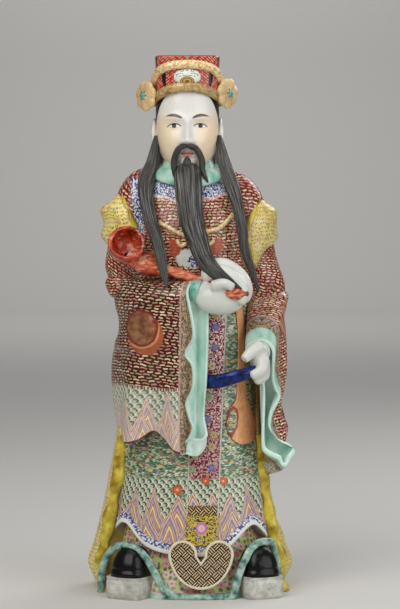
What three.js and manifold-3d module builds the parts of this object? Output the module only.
// A standing porcelain official in court dress, about 600 mm tall, fired as one piece.
// Millimetres, +Z up. The figure faces -Y, and +X is to the right of someone who looks at its face.
import * as THREE from "three";
import { mergeVertices } from "three/addons/utils/BufferGeometryUtils.js";
import Module from "manifold-3d";

// Driving dimensions
const shift = [0, 12.8, 0]; // brings the middle of the base under the origin
const wall = 3.6; // thickness of a cloth edge
const squareness = 0.84; // under 1 makes the robe's section boxier than an ellipse

// The robe's half-widths and depths at heights above the base, as [height, size]
const robe = {
  centre: [[0, 1], [170, 1], [330, 0], [495, -3]],
  halfWidth: [[0, 94], [60, 91], [110, 83], [170, 77], [250, 71], [330, 70], [390, 70], [425, 66],
    [446, 58], [462, 44], [478, 29], [500, 24]],
  front: [[0, 63], [60, 66], [170, 58], [250, 54], [330, 55], [390, 56], [425, 49], [450, 39],
    [470, 30], [500, 22]],
  back: [[0, 60], [60, 60], [170, 54], [250, 48], [330, 46], [390, 46], [425, 43], [450, 36], [470, 29],
    [500, 25]],
  top: 500,
  hem: [[-180, 42], [-130, 46], [-100, 48], [-85, 57], [-56, 80], [-28, 55], [0, 46], [16, 49],
    [48, 78], [68, 62], [100, 48], [140, 46], [180, 42]],
  overhang: 17, // how far the underside of the hem runs in
};

// The sleeve on the left of the picture hangs across the body. Its plan line runs from elbow to mouth.
const broadSleeve = {
  line: [[-67, 10], [-63, -22], [-38, -52], [2, -70], [13, -77]],
  rest: -82, // the left outline the folds at that side are measured from
  leftSide: [[160, -70], [171, -73], [182, -79], [193, -82], [213, -87], [235, -90.5], [250, -91],
    [264, -89], [283, -84], [308, -83], [332, -88], [347, -92]],
  halfThickness: [[0, 4], [0.12, 15], [0.35, 20], [0.8, 18], [1, 16]],
  top: [[0, 346], [0.15, 354], [0.6, 350], [1, 350]],
  hem: [[0, 185], [0.15, 182], [0.25, 177], [0.35, 169], [0.45, 172], [0.53, 183], [0.6, 176],
    [0.68, 163], [0.82, 162], [0.92, 168], [1, 179]],
  fold: { depth: 5, waves: 3.2, start: 0.22 }, // waves of the cloth that deepen towards the hem
  dimple: [-53, 298], // where the painted boss sits, with a ridge under it
  frontEdge: [[165, -14], [190, 0], [200, -4], [217, -9], [230, -3], [240, 0], [260, -2], [271, -11],
    [289, -1], [308, -3], [335, -10], [350, -12]],
  backEdge: [[158, -3], [180, -1], [200, -5], [220, -4], [240, -2], [290, 0], [350, 0]],
  recess: [[0, 12], [0.66, 12], [0.84, -5], [1, -5]], // under zero, so the mouth's foot hangs round
  mouthDepth: 0.24,
};

// The sleeve on the right of the picture hangs from a forearm that comes forward.
// Its line runs from back to mouth.
const longSleeve = {
  depth: [[0, 26], [0.5, -20], [1, -58]],
  top: [[0, 345], [0.35, 346], [0.62, 334], [0.86, 304], [1, 286]],
  bottom: [[0, 164], [0.2, 146], [0.5, 139], [1, 151]],
  recess: -8, // under zero, so the foot of the sleeve hangs round
  leftEdge: [[139, 97], [146, 84], [153, 79], [200, 79], [234, 78], [252, 70], [268, 62], [280, 60],
    [292, 66]],
  rightEdge: [[139, 111], [147, 116], [153, 114], [161, 100], [176, 90], [195, 91], [208, 97],
    [217, 100], [226, 96], [240, 93], [275, 94], [292, 92]],
  outerRight: [[130, 96], [165, 104], [184, 107], [200, 100], [245, 105], [290, 106], [308, 105],
    [321, 108], [332, 111], [346, 104]],
  outerLeft: [[130, 82], [250, 80], [290, 66], [346, 62]],
  mouthDepth: 0.3,
};

const upperArms = {
  left: { points: [[-26, -2, 457], [-50, -5, 448], [-62, -8, 414], [-68, -8, 376], [-75, -8, 338]],
    radius: [[0, 14], [0.22, 24], [0.45, 27], [0.85, 24], [1, 14]] },
  right: { points: [[22, -2, 455], [50, -5, 443], [61, -8, 412], [68, -8, 375], [80, -9, 338],
    [82, -10, 315]], radius: [[0, 14], [0.2, 25], [0.4, 27], [0.8, 26], [1, 14]] },
  elbow: { centre: [-77, -14, 342], size: [17.5, 19, 15] },
};

const head = {
  centre: [-3, 0],
  halfWidth: [[470, 9], [475, 20], [483, 27], [497, 32.5], [515, 35], [540, 35.5], [560, 34]],
  front: [[470, 30], [476, 36], [486, 38.5], [500, 39], [540, 38], [560, 36]],
  back: [[470, 10], [485, 26], [510, 35], [560, 36]],
  nose: { z: [[497, 0], [501, 8.5], [506, 9], [524, 3.5], [532, 0]], halfWidth: [[497, 7], [503, 6.5],
    [522, 3.6], [532, 4]] },
  brow: { z: 528, rise: 2.2 },
};

const hat = {
  crown: { bottom: 555, top: 597, halfWidth: [[548, 34.5], [575, 35], [597, 36.5]], front: [[548, 36],
    [575, 33], [597, 33]], back: [[548, 37], [597, 38]] },
  brim: { front: 562, side: 547, back: 551, height: 5.5, thickness: 4, halfWidth: 37, depth: 39 },
  tier: { halfWidth: 36.5, front: 38, top: [[0, 589], [20, 587.5], [45, 583], [62, 577], [80, 567],
    [105, 553], [180, 550]] }, // top by angle from the front
  arch: { halfHeight: 5, thickness: 4, reach: 84 },
  plaque: { centre: [-3, -37.5, 573], size: [15, 5, 9] },
  rosette: { radius: 16.5, thickness: 4.5, lobes: 7, left: [-49, -14, 553], right: [41.5, -14, 556],
    turn: 50 },
};

// Hair and beard: each lock is a path with [share, half-width] and [share, half-thickness] along it
const locks = {
  left: { points: [[-37, -8, 508], [-42, -18, 476], [-48, -31, 458], [-48, -44, 440], [-43, -55, 416],
    [-35, -64, 391], [-30, -73, 368], [-25, -82, 343]], width: [[0, 3], [0.12, 7], [0.24, 9.5],
    [0.4, 8], [0.6, 7.2], [0.8, 5.8], [0.93, 3.6], [1, 1.5]], thickness: [[0, 4], [0.3, 6], [0.8, 4.5],
    [1, 1.5]] },
  right: { points: [[32, -8, 508], [37, -20, 483], [44, -34, 460], [51, -46, 438], [57, -55, 410],
    [60, -61, 384], [68, -66, 361], [75, -68, 337]], width: [[0, 3], [0.12, 6], [0.3, 7.8], [0.5, 6],
    [0.75, 5], [0.9, 3.4], [1, 1.5]], thickness: [[0, 4], [0.3, 6], [0.8, 4.5], [1, 1.5]] },
  beard: { points: [[-3, -39, 475], [-2, -47, 460], [0, -55, 435], [3, -61, 413], [9, -68, 393],
    [17, -77, 373], [31, -86, 358], [56, -94, 342]], width: [[0, 11], [0.1, 14.5], [0.35, 13.4],
    [0.55, 11], [0.72, 9.5], [0.88, 6.5], [1, 1.5]], thickness: [[0, 8], [0.2, 10], [0.6, 8], [1, 2]] },
  moustacheLeft: { points: [[-4, -42, 498], [-12, -43, 494], [-17, -41, 482], [-17, -41, 470],
    [-15, -43, 458]], width: [[0, 3], [0.4, 3.6], [0.8, 3], [1, 0.8]], thickness: [[0, 3], [0.5, 4],
    [1, 1.2]] },
  moustacheRight: { points: [[-2, -42, 498], [7, -43, 494], [13, -41, 482], [14, -41, 470],
    [20, -43, 457]], width: [[0, 3], [0.4, 3.6], [0.8, 3], [1, 0.8]], thickness: [[0, 3], [0.5, 4],
    [1, 1.2]] },
  nape: { points: [[-3, 22, 556], [-3, 30, 530], [-3, 31, 500], [-3, 34, 465], [-3, 44, 430],
    [-3, 51, 395]], width: [[0, 30], [0.4, 36], [0.7, 34], [0.9, 24], [1, 8]], thickness: [[0, 12],
    [0.4, 14], [0.8, 9], [1, 2]] },
};

const sceptre = {
  shaft: { points: [[-66, -56, 378], [-48, -62, 365], [-24, -66, 361], [0, -69, 354], [22, -75, 350],
    [42, -83, 344]], radius: [[0, 10], [0.2, 9], [0.35, 6], [1, 5.2]] },
  knob: { centre: [51, -91, 337], size: [12.5, 6, 6.5] },
  cup: { centre: [-69.5, -62, 387], rise: 26, turn: 3, radius: 20.5, depth: 24, wall: 4.5 },
  hole: { across: 1.5, down: 8, radius: 4.4 },
  neck: { centre: [-52, -58, 373], size: [17, 10, 9] },
};

const hands = {
  upper: {
    palm: { centre: [33, -79, 331], size: [27, 13, 18] },
    wrist: {
      points: [[-10, -56, 336], [12, -71, 338], [34, -79, 334]],
      radius: [[0, 10], [0.5, 11.5], [1, 14]],
    },
    fingers: [
      [[12, -64, 362], [36, -68, 367], [55, -74, 356], [62, -80, 340], [57, -84, 326]],
      [[12, -72, 354], [34, -78, 360], [50, -84, 352], [58, -88, 338], [54, -88, 324]],
    ],
    fingerRadius: [[0, 9], [0.5, 7.5], [0.9, 6], [1, 4]],
    thumb: { points: [[24, -86, 344], [37, -92, 348], [48, -95, 343]], radius: [[0, 7], [1, 4.5]] },
  },
  lower: {
    palm: { centre: [76, -63, 265], size: [11, 11, 17] },
    wrist: { points: [[84, -26, 284], [80, -44, 278], [77, -60, 268]], radius: [[0, 10], [1, 11]] },
    fingers: [
      [[78, -66, 278], [68, -73, 273], [58, -78, 263]],
      [[80, -66, 264], [78, -75, 252], [66, -79, 246]],
      [[80, -64, 258], [80, -71, 246], [70, -74, 240]],
    ],
    fingerRadius: [[0, 8.5], [0.6, 6.5], [1, 5]],
  },
};

const collar = {
  left: [[-37, -8, 474], [-33, -23, 467], [-21, -35, 463], [-6, -40, 460]],
  right: [[33, -8, 474], [30, -23, 467], [20, -35, 463], [6, -40, 460]],
  halfWidth: 9,
  halfThickness: 3.4,
};
const belt = { points: [[8, -62, 238], [30, -72, 240], [52, -77, 246],
  [74, -70, 252]], halfHeight: [[0, 8.5], [0.6, 7.5], [1, 6]], halfThickness: 4.5 };

const panel = { x: [[62, 12.5], [140, 15.5], [217, 18.5], [320, 23]], halfWidth: [[62, 18.5],
  [320, 18.5]], bottom: 58, top: 318, stand: 2.4 };
const sash = { x: [[168, 61], [184, 57.5], [200, 56], [218, 57], [285, 57], [322, 54]],
  halfWidth: [[168, 7], [173, 13], [184, 17], [198, 16], [210, 11], [218, 6.5], [240, 5], [322, 4]],
  bottom: 168, top: 322, stand: 2.6 };
const underskirt = { top: 100, setBack: 13, flare: 24, curve: 2.6 };
const cloudHead = {
  centre: [12, 38],
  lobe: { out: 20, up: 12, radius: 16, start: 188, end: -10 }, // each upper lobe, from the notch
  notch: 4,
  bottom: 26, // how far the round foot hangs under the notch
  front: -83,
  thickness: 24,
  lean: 9, // degrees, the top away from the viewer
  rim: 3,
  rimRise: 1.6,
};
const shoes = {
  left: { centre: [-63, -55], turn: -27 },
  right: { centre: [75, -51], turn: 20 },
  halfWidth: 22.5,
  length: 56,
  sole: 24,
  upperRise: 35,
};
const archHem = {
  left: [[-100, -34, 0], [-97, -42, 30], [-88, -50, 49], [-75, -58, 57], [-60, -66, 55], [-47, -71, 43],
    [-37, -75, 26], [-28, -78, 11], [-14, -79, 2]],
  right: [[100, -32, 0], [97, -36, 30], [91, -44, 56], [85, -52, 60], [76, -60, 60], [67, -66, 54],
    [61, -70, 43], [55, -73, 30], [47, -76, 4], [38, -78, 0]],
  halfWidth: 5.5,
  halfThickness: 5,
};
const frontHem = {
  points: [[-30, -74, 3], [-4, -78, 3], [20, -78, 3], [42, -74, 3]],
  radius: 4,
  thickness: 5,
};

// The cloak hangs from the shoulders to the ground. "edge" is its front edge, "side" its widest line.
const cloak = {
  heights: [0, 12, 30, 44, 64, 97, 133, 185, 250, 345, 370, 384, 397, 412, 427, 436, 446, 458, 474],
  left: {
    side: [[0, -105], [12, -109], [30, -116], [44, -112], [64, -106], [97, -98], [133, -91], [185, -82],
      [250, -78], [345, -76], [370, -80], [384, -90], [397, -100], [412, -97], [427, -101], [438, -87],
      [447, -80], [456, -72], [465, -60], [474, -46]],
    edge: [[0, -96], [30, -99], [64, -94], [97, -87], [133, -80], [185, -76], [250, -66], [345, -66],
      [370, -60], [399, -59], [417, -64], [434, -72], [450, -74], [461, -61], [474, -37]],
    edgeY: [[0, -30], [133, -26], [185, -20], [250, 0], [345, -5], [370, -32], [397, -38], [420, -36],
      [438, -26], [452, -8], [474, 8]],
  },
  right: {
    side: [[0, 104], [12, 108], [30, 116], [48, 109], [60, 106], [80, 97], [97, 94], [133, 86],
      [185, 80], [345, 76], [362, 77], [378, 86], [394, 98], [412, 97], [427, 97], [436, 84], [447, 75],
      [458, 62], [466, 52], [474, 42]],
    edge: [[0, 103], [30, 99], [48, 99], [64, 93], [97, 87], [133, 80], [185, 74], [345, 68], [370, 70],
      [399, 62], [415, 67], [434, 75], [446, 74], [458, 59], [474, 33]],
    edgeY: [[0, -26], [133, -24], [185, -20], [250, 0], [345, -10], [362, -40], [397, -42], [420, -36],
      [436, -22], [448, -6], [474, 8]],
  },
  sideY: [[0, 0], [345, 4], [370, 0], [430, -4], [474, 0]],
  back: [[0, 68], [60, 67], [133, 62], [250, 57], [370, 56], [412, 52], [438, 45], [474, 30]],
  core: 0.36, // how far the band reaches in towards the body
};
const cloakEdge = { low: [0, 20, 44, 70, 100, 133, 175], high: [362, 380, 400, 420, 438, 448],
  across: 5.5, thickness: 4.5 };

// Passes that thin out the joined surface: the length of a short edge, and how flat a face must stay,
// as a cosine
const detail = [
  { shortest: 0.8, flattest: 2 },
  { shortest: 1.4, flattest: 0.999 },
  { shortest: 2, flattest: 0.997 },
];

const wasm = await Module();
wasm.setup();

const point = (x, y, z) => new THREE.Vector3(x, y, z);
const radians = THREE.MathUtils.degToRad;
const clamp = THREE.MathUtils.clamp;
const smooth = THREE.MathUtils.smoothstep;

// A smooth curve through [position, value] stops, level beyond its ends
function through(stops, t) {
  const last = stops.length - 1;
  if (t <= stops[0][0]) return stops[0][1];
  if (t >= stops[last][0]) return stops[last][1];
  const i = stops.findIndex((stop) => stop[0] > t) - 1;
  const slope = (k) => {
    const low = stops[Math.max(k - 1, 0)];
    const high = stops[Math.min(k + 1, last)];
    return (high[1] - low[1]) / (high[0] - low[0]);
  };
  const span = stops[i + 1][0] - stops[i][0];
  const s = (t - stops[i][0]) / span;
  const [a, b] = [stops[i][1], stops[i + 1][1]];
  const [ma, mb] = [slope(i) * span, slope(i + 1) * span];
  return a + s * (ma + s * (3 * (b - a) - 2 * ma - mb + s * (2 * (a - b) + ma + mb)));
}

function path(points) {
  return new THREE.CatmullRomCurve3(points.map((p) => point(...p)), false, "catmullrom", 0.5);
}

// A closed skin: rows of rings, each ring going round once, closed at both ends.
// at(turn, row) takes shares from 0 to 1.
function skin(around, rows, at) {
  const geometry = new THREE.SphereGeometry(1, around, rows + 1);
  const { position, uv } = geometry.attributes;
  const middle = (row) => {
    const sum = point(0, 0, 0);
    for (let i = 0; i < around; i++) sum.add(at(i / around, row));
    return sum.divideScalar(around);
  };
  const ends = [middle(0), middle(1)];
  for (let i = 0; i < position.count; i++) {
    const level = Math.round((1 - uv.getY(i)) * (rows + 1));
    let p = at(uv.getX(i) % 1, clamp((level - 1) / (rows - 1), 0, 1));
    if (level === 0) p = ends[0];
    if (level === rows + 1) p = ends[1];
    position.setXYZ(i, p.x, p.y, Math.max(p.z, 0));
  }
  return geometry;
}

// A geometry as a solid that faces outwards
function solid(geometry) {
  const bare = geometry.clone();
  bare.deleteAttribute("normal");
  bare.deleteAttribute("uv");
  const merged = mergeVertices(bare, 1e-4);
  const vertProperties = merged.attributes.position.array;
  const build = (triVerts) => new wasm.Manifold(new wasm.Mesh({ numProp: 3, vertProperties, triVerts }));
  const made = build(new Uint32Array(merged.index.array));
  return made.volume() > 0 ? made : build(new Uint32Array(merged.index.array).reverse());
}

// A tube along points, with a half-width across and a half-thickness towards the facing direction
function strand(points, width, thickness, facing, around, rows) {
  const line = path(points);
  return skin(around, rows, (turn, row) => {
    const p = line.getPoint(row);
    const tangent = line.getTangent(row);
    const out = point(...facing).addScaledVector(tangent, -tangent.dot(point(...facing))).normalize();
    const side = tangent.clone().cross(out);
    const angle = turn * 2 * Math.PI;
    return p
      .addScaledVector(side, through(width, row) * Math.sin(angle))
      .addScaledVector(out, through(thickness, row) * Math.cos(angle));
  });
}

const even = (size) => [[0, size], [1, size]]; // one size all along
const tube = (points, radius, around, rows) => strand(points, radius, radius, [0.1, -1, 0.1], around, rows);
const ball = (centre, size, around = 14, rows = 9) =>
  skin(around, rows, (turn, row) => {
    const up = Math.PI * (0.5 / rows + (row * (rows - 1)) / rows);
    const angle = turn * 2 * Math.PI;
    return point(
      centre[0] + size[0] * Math.sin(up) * Math.sin(angle),
      centre[1] - size[1] * Math.sin(up) * Math.cos(angle),
      centre[2] + size[2] * Math.cos(up),
    );
  });

// The robe's surface at an angle from the front (positive to +X) and a height, lifted outwards
function robePoint(angle, z, lift = 0) {
  const [sine, cosine] = [Math.sin(angle), Math.cos(angle)];
  const width = through(robe.halfWidth, z) + lift;
  const depth = through(cosine > 0 ? robe.front : robe.back, z) + lift;
  const bent = (value) => Math.sign(value) * Math.abs(value) ** squareness;
  return point(through(robe.centre, z) + width * bent(sine), -depth * bent(cosine), z);
}

// The y of the robe's front at x and z
function robeFront(x, z) {
  const across = Math.min(Math.abs(x - through(robe.centre, z)) / through(robe.halfWidth, z), 1);
  return -through(robe.front, z) * (1 - across ** (2 / squareness)) ** (squareness / 2);
}

// Shallow upright folds at the sides and back of the skirt, deeper towards the hem
function pleat(angle, z) {
  const depth = 4.2 * smooth(Math.abs(angle), 0.9, 1.8) * (1 - smooth(z, 60, 330));
  return depth * Math.sin(13 * angle + 0.6);
}

function robeSkin(around, rows) {
  return skin(around, rows, (turn, row) => {
    const angle = (turn - 0.5) * 2 * Math.PI;
    const hem = through(robe.hem, (angle * 180) / Math.PI);
    const tuck = 1 / (rows - 1);
    if (row < tuck / 2) return robePoint(angle, hem + 4, -robe.overhang);
    const share = (row - tuck) / (1 - tuck);
    const z = hem + (robe.top - hem) * share ** 1.05;
    return robePoint(angle, z, pleat(angle, z));
  });
}

// The skirt under the robe runs out over the base in front
function underSkirt(around, rows) {
  return skin(around, rows, (turn, row) => {
    const angle = (turn - 0.5) * 2 * Math.PI;
    const z = underskirt.top * row;
    const flare = underskirt.flare * (1 - row) ** underskirt.curve * smooth(Math.cos(angle), -0.1, 0.7);
    return robePoint(angle, z, flare - underskirt.setBack);
  });
}

// One turn round a hanging bag of cloth: how far across it (-1 to 1) and how far down its height (0 to 1)
function bagSection(turn, height, halfThickness, recess) {
  const crown = 0.14;
  const foot = 0.06;
  const side = turn < 0.5 ? 1 : -1;
  const t = turn < 0.5 ? turn : 1 - turn;
  if (t < crown) {
    const angle = (t / crown) * (Math.PI / 2);
    return { across: side * Math.sin(angle), down: (halfThickness * (1 - Math.cos(angle))) / height };
  }
  if (t < 0.5 - foot) {
    const share = (t - crown) / (0.5 - foot - crown);
    return { across: side, down: (halfThickness + (height - halfThickness) * share) / height };
  }
  const across = (0.5 - t) / foot;
  return { across: side * across, down: 1 - (recess * (1 - across * across)) / height };
}

// Rows of a sleeve: out along it, over the lip and back inside, as a share along it and an inset
function sleeveRow(row, depth) {
  const lip = 0.72;
  if (row <= lip) return { along: row / lip, inset: 0 };
  return { along: 1 - (depth * (row - lip)) / (1 - lip), inset: wall };
}

function broadSleeveSkin(around, rows) {
  const line = path(broadSleeve.line.map((p) => [...p, 0]));
  return skin(around, rows, (turn, row) => {
    const { along, inset } = sleeveRow(row, broadSleeve.mouthDepth);
    const middle = line.getPoint(along);
    const ahead = line.getTangent(along);
    const out = point(ahead.y, -ahead.x, 0);
    const half = Math.max(through(broadSleeve.halfThickness, along) - inset, 1.5);
    const top = through(broadSleeve.top, along) - inset;
    const recess = through(broadSleeve.recess, along);
    const hem = through(broadSleeve.hem, along) + (inset ? Math.max(recess, 0) + inset : 0);
    const { across, down } = bagSection(turn, top - hem, half, inset ? Math.min(recess, 0) : recess);
    const z = top + (hem - top) * down;
    const { depth, waves, start } = broadSleeve.fold;
    const fold = across > 0 ? depth * down ** 1.3 * Math.cos(2 * Math.PI * (along * waves - start)) : 0;
    const [right, up] = [middle.x - broadSleeve.dimple[0], z - broadSleeve.dimple[1]];
    const ring = Math.hypot(right / 17, up / 19);
    const hollow = Math.exp(-(ring ** 4)) * -4;
    const ridge = 5 * Math.exp(-(((ring - 1.1) / 0.28) ** 2)) * smooth(right / 17 - up / 19, -0.3, 1.2);
    const relief = across > 0 && !inset ? hollow + ridge : 0;
    const side = (through(broadSleeve.leftSide, z) - broadSleeve.rest) * (1 - smooth(along, 0, 0.35));
    const edge = through(across > 0 ? broadSleeve.frontEdge : broadSleeve.backEdge, z);
    return middle
      .addScaledVector(out, half * across + fold * Math.abs(across) + relief)
      .addScaledVector(ahead, edge * smooth(along, 0.7, 1))
      .add(point(side, 0, 0))
      .setZ(z);
  });
}

function longSleeveSkin(around, rows) {
  return skin(around, rows, (turn, row) => {
    const { along, inset } = sleeveRow(row, longSleeve.mouthDepth);
    const top = through(longSleeve.top, along) - inset;
    const bottom = through(longSleeve.bottom, along) + inset * 1.5;
    const halfThickness = 22 - 8 * smooth(along, 0.5, 1);
    const { across, down } = bagSection(turn, top - bottom, halfThickness, longSleeve.recess);
    const z = top + (bottom - top) * down;
    const mouth = smooth(along, 0.55, 1);
    const mouthZ = through(longSleeve.top, 1) + (139 - through(longSleeve.top, 1)) * down;
    const { lerp } = THREE.MathUtils;
    const right = lerp(through(longSleeve.outerRight, z), through(longSleeve.rightEdge, mouthZ), mouth);
    const left = lerp(through(longSleeve.outerLeft, z), through(longSleeve.leftEdge, mouthZ), mouth);
    const middle = (left + right) / 2;
    const half = Math.max((right - left) / 2 - inset, 1.2);
    const sag = across > 0 ? 4 * mouth * Math.sin((z - 140) / 17) : 0;
    const wave = Math.sin(2 * Math.PI * (2.6 * along - 0.7 * down));
    const fold = across > 0 ? 3 * (1 - mouth) * smooth(down, 0.1, 0.5) * wave : 0;
    const back = -14 * (1 - along) ** 3 * down;
    return point(middle + half * across + fold, through(longSleeve.depth, along) + sag * down + back, z);
  });
}

// The cloak's outer surface: share 0 is the left front edge, 0.5 the middle of the back,
// 1 the right front edge
function cloakPoint(share, z) {
  const half = share < 0.5 ? cloak.left : cloak.right;
  const t = share < 0.5 ? share * 2 : 2 - share * 2;
  const [edgeX, edgeY, sideX] = [through(half.edge, z), through(half.edgeY, z), through(half.side, z)];
  const [sideY, back] = [through(cloak.sideY, z), through(cloak.back, z)];
  const corner = 0.34;
  if (t < corner) {
    const angle = (t / corner) * (Math.PI / 2);
    return point(edgeX + (sideX - edgeX) * Math.sin(angle), sideY + (edgeY - sideY) * Math.cos(angle), z);
  }
  const angle = ((t - corner) / (1 - corner)) * (Math.PI / 2);
  const fold = 6 * Math.sin(9 * angle) * (1 - 0.8 * smooth(z, 100, 400)) * Math.sin(angle) ** 2;
  const y = sideY + (back - sideY) * Math.sin(angle) ** squareness + fold;
  return point(sideX * Math.cos(angle) ** squareness, y, z);
}

function cloakSkin(around) {
  const outerShare = 0.78;
  const rows = cloak.heights.length;
  return skin(around, rows, (turn, row) => {
    const z = cloak.heights[Math.round(row * (rows - 1))];
    if (turn <= outerShare) return cloakPoint(turn / outerShare, z);
    const share = 1 - (turn - outerShare) / (1 - outerShare);
    return cloakPoint(share, z).lerp(point(0, 0, z), cloak.core);
  });
}

function cloakRolls() {
  const along = (heights, share) => heights.map((z) => cloakPoint(share, z).toArray());
  const { low, high, across, thickness } = cloakEdge;
  const roll = (points, size, rows) => {
    return strand(points, even(across * size), even(thickness * size), [0, -1, 0], 7, rows);
  };
  return [0, 1].flatMap((share) => [roll(along(low, share), 1, 10), roll(along(high, share), 0.4, 8)]);
}

// A strip that lies on the robe's front, between two heights
function frontStrip({ x: centre, halfWidth, bottom, top, stand }, around, rows) {
  return skin(around, rows, (turn, row) => {
    const z = bottom + (top - bottom) * row;
    const angle = turn * 2 * Math.PI;
    const x = through(centre, z) - through(halfWidth, z) * Math.cos(angle);
    const lift = Math.sin(angle) > 0 ? stand : -6;
    return point(x, robeFront(x, z) - lift * Math.min(1, 3 * Math.abs(Math.sin(angle))), z);
  });
}

function headSkin(around, rows) {
  const [bottom, top] = [468, 566];
  return skin(around, rows, (turn, row) => {
    const z = bottom + (top - bottom) * row;
    const angle = (turn - 0.5) * 2 * Math.PI;
    const [sine, cosine] = [Math.sin(angle), Math.cos(angle)];
    const x = through(head.halfWidth, z) * Math.sign(sine) * Math.abs(sine) ** 0.9;
    let y = -through(cosine > 0 ? head.front : head.back, z) * Math.sign(cosine) * Math.abs(cosine) ** 0.9;
    if (cosine > 0) y -= faceRelief(x, z);
    return point(head.centre[0] + x, head.centre[1] + y, z);
  });
}

// How far the face stands out at x from its middle line: nose, brow, sockets, cheeks, lips and chin
function faceRelief(x, z) {
  const bump = (cx, cz, wx, wz) => Math.exp(-(((Math.abs(x) - cx) / wx) ** 2) - ((z - cz) / wz) ** 2);
  const noseWidth = through(head.nose.halfWidth, z);
  const nose = through(head.nose.z, z) * Math.exp(-((x / noseWidth) ** 2));
  const brow = head.brow.rise * bump(14, head.brow.z, 13, 5);
  const socket = -3 * bump(14, 520, 8, 5);
  const cheek = 1.6 * bump(17, 504, 9, 9);
  const lips = 2.2 * bump(0, 490, 7, 3);
  const chin = 2.5 * bump(0, 476, 9, 5);
  return nose + brow + socket + cheek + lips + chin;
}

function ears() {
  return [-1, 1].map((side) => ball([head.centre[0] + side * 37.5, 2, 512], [4.5, 8, 17], 10, 7));
}

function crownSkin(around, rows) {
  const { bottom, top, halfWidth, front, back } = hat.crown;
  return skin(around, rows, (turn, row) => {
    const z = bottom + (top - bottom) * row;
    const angle = (turn - 0.5) * 2 * Math.PI;
    const [sine, cosine] = [Math.sin(angle), Math.cos(angle)];
    const bent = (value) => Math.sign(value) * Math.abs(value) ** 0.5;
    const y = -through(cosine > 0 ? front : back, z) * bent(cosine);
    return point(head.centre[0] + through(halfWidth, z) * bent(sine), y, z);
  });
}

// The height of the middle of the brim at an angle from the front
function brimHeight(angle) {
  const { front, side, back } = hat.brim;
  const ahead = Math.cos(angle);
  return ahead > 0 ? side + (front - side) * ahead ** 1.5 : side + (back - side) * ahead ** 2;
}

// The hat's front tier, lower than the crown behind it, rises from the brim to an arched top
function tierPoint(angle, z, lift = 0) {
  const bent = (value) => Math.sign(value) * Math.abs(value) ** 0.7;
  const depth = Math.cos(angle) > 0 ? hat.tier.front : 34;
  const x = (hat.tier.halfWidth + lift) * bent(Math.sin(angle));
  return point(head.centre[0] + x, -(depth + lift) * bent(Math.cos(angle)), z);
}

function tierSkin(around, rows) {
  return skin(around, rows, (turn, row) => {
    const angle = (turn - 0.5) * 2 * Math.PI;
    const top = through(hat.tier.top, Math.abs((angle * 180) / Math.PI));
    const bottom = brimHeight(angle);
    return tierPoint(angle, bottom + (top - bottom) * row);
  });
}

function archBand(around, rows) {
  const { halfHeight, thickness, reach } = hat.arch;
  const places = Array.from({ length: 13 }, (_, i) => {
    const degrees = reach * (i / 6 - 1);
    return tierPoint(radians(degrees), through(hat.tier.top, Math.abs(degrees)) - 2, 0.5).toArray();
  });
  return strand(places, even(halfHeight), even(thickness), [0, -1, 0.2], around, rows);
}

function brimSkin(around, sides) {
  const { height, thickness, halfWidth, depth } = hat.brim;
  const ring = new THREE.TorusGeometry(1, 0.2, sides, around);
  const { position, uv } = ring.attributes;
  for (let i = 0; i < position.count; i++) {
    const angle = ((uv.getX(i) % 1) - 0.5) * 2 * Math.PI;
    const turn = (uv.getY(i) % 1) * 2 * Math.PI;
    const bent = (value) => Math.sign(value) * Math.abs(value) ** 0.85;
    const out = thickness * Math.cos(turn);
    position.setXYZ(
      i,
      head.centre[0] + (halfWidth + out) * bent(Math.sin(angle)),
      -(depth + out) * bent(Math.cos(angle)),
      brimHeight(angle) + height * Math.sin(turn),
    );
  }
  return ring;
}

function rosette(centre, turn, around, rows) {
  const { radius, thickness, lobes } = hat.rosette;
  return skin(around, rows, (t, row) => {
    const angle = t * 2 * Math.PI;
    const edge = radius * (1 + 0.09 * Math.abs(Math.sin((lobes * angle) / 2)) - 0.05);
    const fall = Math.PI * (0.12 + 0.76 * row);
    const out = edge * Math.sin(fall);
    const p = point(out * Math.sin(angle), thickness * -Math.cos(fall), out * Math.cos(angle));
    return p.applyAxisAngle(point(0, 0, 1), radians(turn)).add(point(...centre));
  });
}

// Turns a form that points up the Y axis so that it points out of the cup's mouth
function facingOut(geometry) {
  const { centre, rise, turn } = sceptre.cup;
  return geometry.rotateX(radians(180 - rise)).rotateZ(radians(turn)).translate(...centre);
}

function cupGeometry() {
  const { radius, depth } = sceptre.cup;
  const inner = radius - sceptre.cup.wall;
  const outline = [
    [0, 0], [radius * 0.6, 1.5], [radius * 0.92, depth * 0.4], [radius, depth * 0.78],
    [radius * 0.94, depth], [inner, depth * 0.94], [inner * 0.86, depth * 0.5],
    [inner * 0.5, depth * 0.26], [0, depth * 0.2],
  ];
  const cup = new THREE.LatheGeometry(outline.map((p) => new THREE.Vector2(...p)), 20);
  return facingOut(cup.translate(0, -depth / 2, 0));
}

// The outline of the cloud head, drawn in by an inset: two lobes with a notch between, and a round foot
function cloudOutline(inset) {
  const { lobe, notch, bottom } = cloudHead;
  const outline = new THREE.Shape();
  const radius = lobe.radius - inset;
  outline.moveTo(0, notch - inset * 1.5);
  const [start, end] = [radians(lobe.start), radians(lobe.end)];
  const [right, low] = [lobe.out + radius * Math.cos(end), lobe.up + radius * Math.sin(end)];
  const foot = inset - bottom;
  outline.absarc(lobe.out, lobe.up, radius, start, end, true);
  outline.bezierCurveTo(right - 3, low - 16, lobe.out, foot, 0, foot);
  outline.bezierCurveTo(-lobe.out, foot, 3 - right, low - 16, -right, low);
  outline.absarc(-lobe.out, lobe.up, radius, Math.PI - end, Math.PI - start, true);
  outline.closePath();
  return outline;
}

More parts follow.
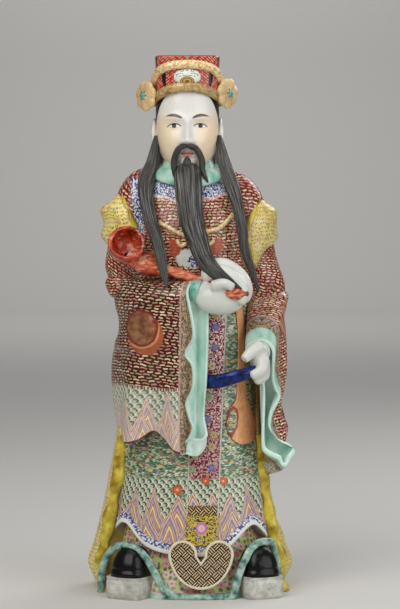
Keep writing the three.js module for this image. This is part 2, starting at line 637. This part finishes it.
function cloudHeadSolid() {
  const { centre, front, thickness, lean, rim, rimRise } = cloudHead;
  const plate = (inset, from, to) => {
    const settings = { depth: to - from, bevelEnabled: false, curveSegments: 9 };
    const slab = new THREE.ExtrudeGeometry(cloudOutline(inset), settings).translate(0, 0, from);
    return solid(slab.rotateX(radians(90 - lean)).translate(centre[0], front, centre[1]));
  };
  return plate(0, -thickness, 0).subtract(plate(rim, -rimRise, rimRise));
}

function shoeSolids({ centre, turn }) {
  const { halfWidth, length, sole, upperRise } = shoes;
  const outline = new THREE.Shape();
  outline.moveTo(-halfWidth, length / 2);
  outline.lineTo(-halfWidth, -length / 2 + 10);
  outline.quadraticCurveTo(-halfWidth, -length / 2, -halfWidth + 12, -length / 2);
  outline.lineTo(halfWidth - 12, -length / 2);
  outline.quadraticCurveTo(halfWidth, -length / 2, halfWidth, -length / 2 + 10);
  outline.lineTo(halfWidth, length / 2);
  const place = (geometry) => geometry.rotateZ(radians(turn)).translate(...centre, 0);
  const settings = { depth: sole, bevelEnabled: false, curveSegments: 3 };
  const soleBlock = new THREE.ExtrudeGeometry(outline, settings);
  const upper = ball([0, -1, sole - 2], [halfWidth - 1, length / 2 - 1, upperRise], 14, 8);
  return [solid(place(soleBlock)), solid(place(upper))];
}

// The part of a solid above the base
function standing(made) {
  const below = new THREE.BoxGeometry(400, 400, 100).translate(0, 0, -50);
  return made.subtract(solid(below));
}

function figureSolids() {
  const rod = ({ points, radius }, around, rows) => tube(points, radius, around, rows);
  const lump = ({ centre, size }, around, rows) => ball(centre, size, around, rows);
  const lock = ({ points, width, thickness }) => {
    return strand(points, width, thickness, [0, points[0][1] > 0 ? 1 : -1, 0], 10, 16);
  };
  const finger = (radius) => (points) => tube(points, radius, 8, 7);
  const hemRoll = (points) => {
    return strand(points, even(archHem.halfWidth), even(archHem.halfThickness), [0, -1, 0], 8, 14);
  };
  const band = (points) => {
    return strand(points, even(collar.halfWidth), even(collar.halfThickness), [0, -1, 0.4], 8, 6);
  };
  const pieces = [
    robeSkin(48, 24), underSkirt(36, 6), broadSleeveSkin(38, 30), longSleeveSkin(32, 24),
    rod(upperArms.left, 14, 9), rod(upperArms.right, 14, 9), lump(upperArms.elbow),
    headSkin(36, 24), ...ears(),
    crownSkin(28, 4), brimSkin(32, 7), tierSkin(32, 5), archBand(8, 20), lump(hat.plaque, 10, 5),
    rosette(hat.rosette.left, -hat.rosette.turn, 21, 5),
    rosette(hat.rosette.right, hat.rosette.turn, 21, 5),
    ...Object.values(locks).map(lock),
    rod(sceptre.shaft, 10, 14), lump(sceptre.knob, 12, 8), cupGeometry(), lump(sceptre.neck),
    lump(hands.upper.palm), rod(hands.upper.wrist, 10, 5), rod(hands.upper.thumb, 8, 5),
    ...hands.upper.fingers.map(finger(hands.upper.fingerRadius)),
    lump(hands.lower.palm), rod(hands.lower.wrist, 9, 4),
    ...hands.lower.fingers.map(finger(hands.lower.fingerRadius)),
    strand(belt.points, belt.halfHeight, even(belt.halfThickness), [0, -1, 0], 8, 7),
    frontStrip(panel, 8, 10), frontStrip(sash, 8, 9),
    cloakSkin(48), ...cloakRolls(),
    hemRoll(archHem.left), hemRoll(archHem.right), band(collar.left), band(collar.right),
    strand(frontHem.points, even(frontHem.radius), even(frontHem.thickness), [0, -1, 0], 6, 6),
  ].map(solid);
  return [...pieces, cloudHeadSolid(), ...shoeSolids(shoes.left), ...shoeSolids(shoes.right)];
}

// The blind hole in the bottom of the sceptre's cup
function cupHole() {
  const { across, down, radius } = sceptre.hole;
  const drill = new THREE.CylinderGeometry(radius, radius * 0.8, sceptre.cup.depth * 0.7, 9);
  return solid(facingOut(drill.translate(across, 0, down)));
}

// Draws short edges together, and edges in nearly flat surface, where the surface stays closed
// and keeps its shape
function tidied({ vertProperties, triVerts }) {
  const points = [];
  for (let i = 0; i < vertProperties.length; i += 3) points.push(point(...vertProperties.slice(i, i + 3)));
  const faces = [];
  const around = points.map(() => new Set());
  for (let i = 0; i < triVerts.length; i += 3) {
    faces.push([...triVerts.slice(i, i + 3)]);
    for (const v of faces.at(-1)) around[v].add(faces.length - 1);
  }
  const neighbours = (v) => new Set([...around[v]].flatMap((f) => faces[f]).filter((other) => other !== v));
  const normal = (corners) => {
    const [a, b, c] = corners;
    return b.clone().sub(a).cross(c.clone().sub(a));
  };
  // How well the faces round v keep their direction when v moves to w.
  // 1 is not at all turned, -1 is not allowed.
  const agreement = (v, w) => {
    let worst = 1;
    for (const f of around[v]) {
      if (faces[f].includes(w)) continue;
      const before = normal(faces[f].map((i) => points[i]));
      const after = normal(faces[f].map((i) => points[i === v ? w : i]));
      if (after.length() < 0.02) return -1;
      worst = Math.min(worst, before.length() < 1e-3 ? 0.9 : before.normalize().dot(after.normalize()));
    }
    return worst;
  };
  const closes = (v, w) => {
    const near = neighbours(w);
    return [...neighbours(v)].filter((other) => near.has(other)).length === 2;
  };
  for (const { shortest, flattest } of detail) {
    const edges = [];
    for (let v = 0; v < points.length; v++) {
      for (const w of neighbours(v)) edges.push([points[v].distanceTo(points[w]), v, w]);
    }
    edges.sort((a, b) => a[0] - b[0]);
    for (const [, v, w] of edges) {
      if (!around[v].size || !around[w].size || !neighbours(v).has(w)) continue;
      const length = points[v].distanceTo(points[w]);
      const turned = agreement(v, w);
      if (turned < (length < shortest ? 0.3 : flattest) || !closes(v, w)) continue;
      for (const f of [...around[v]]) {
        if (faces[f].includes(w)) {
          for (const i of faces[f]) around[i].delete(f);
          faces[f] = null;
        } else {
          faces[f] = faces[f].map((i) => (i === v ? w : i));
          around[w].add(f);
        }
      }
      around[v].clear();
    }
  }
  const geometry = new THREE.BufferGeometry().setFromPoints(points);
  geometry.setIndex(faces.filter(Boolean).flat());
  return mergeVertices(geometry, 1e-4);
}

function figureMesh() {
  const joined = figureSolids().reduce((whole, piece) => whole.add(piece));
  // The largest body is the figure without the small pockets that overlapping forms close in
  const whole = standing(joined).decompose().reduce((a, b) => (b.volume() > a.volume() ? b : a));
  const geometry = tidied(whole.subtract(cupHole()).getMesh());
  geometry.computeVertexNormals();
  const glaze = new THREE.MeshStandardMaterial({ color: 0x8c3a2a, roughness: 0.18, metalness: 0 });
  const mesh = new THREE.Mesh(geometry, glaze);
  mesh.name = "figure";
  mesh.position.set(...shift);
  return mesh;
}

const figure = new THREE.Group();
figure.add(figureMesh());

export default figure;
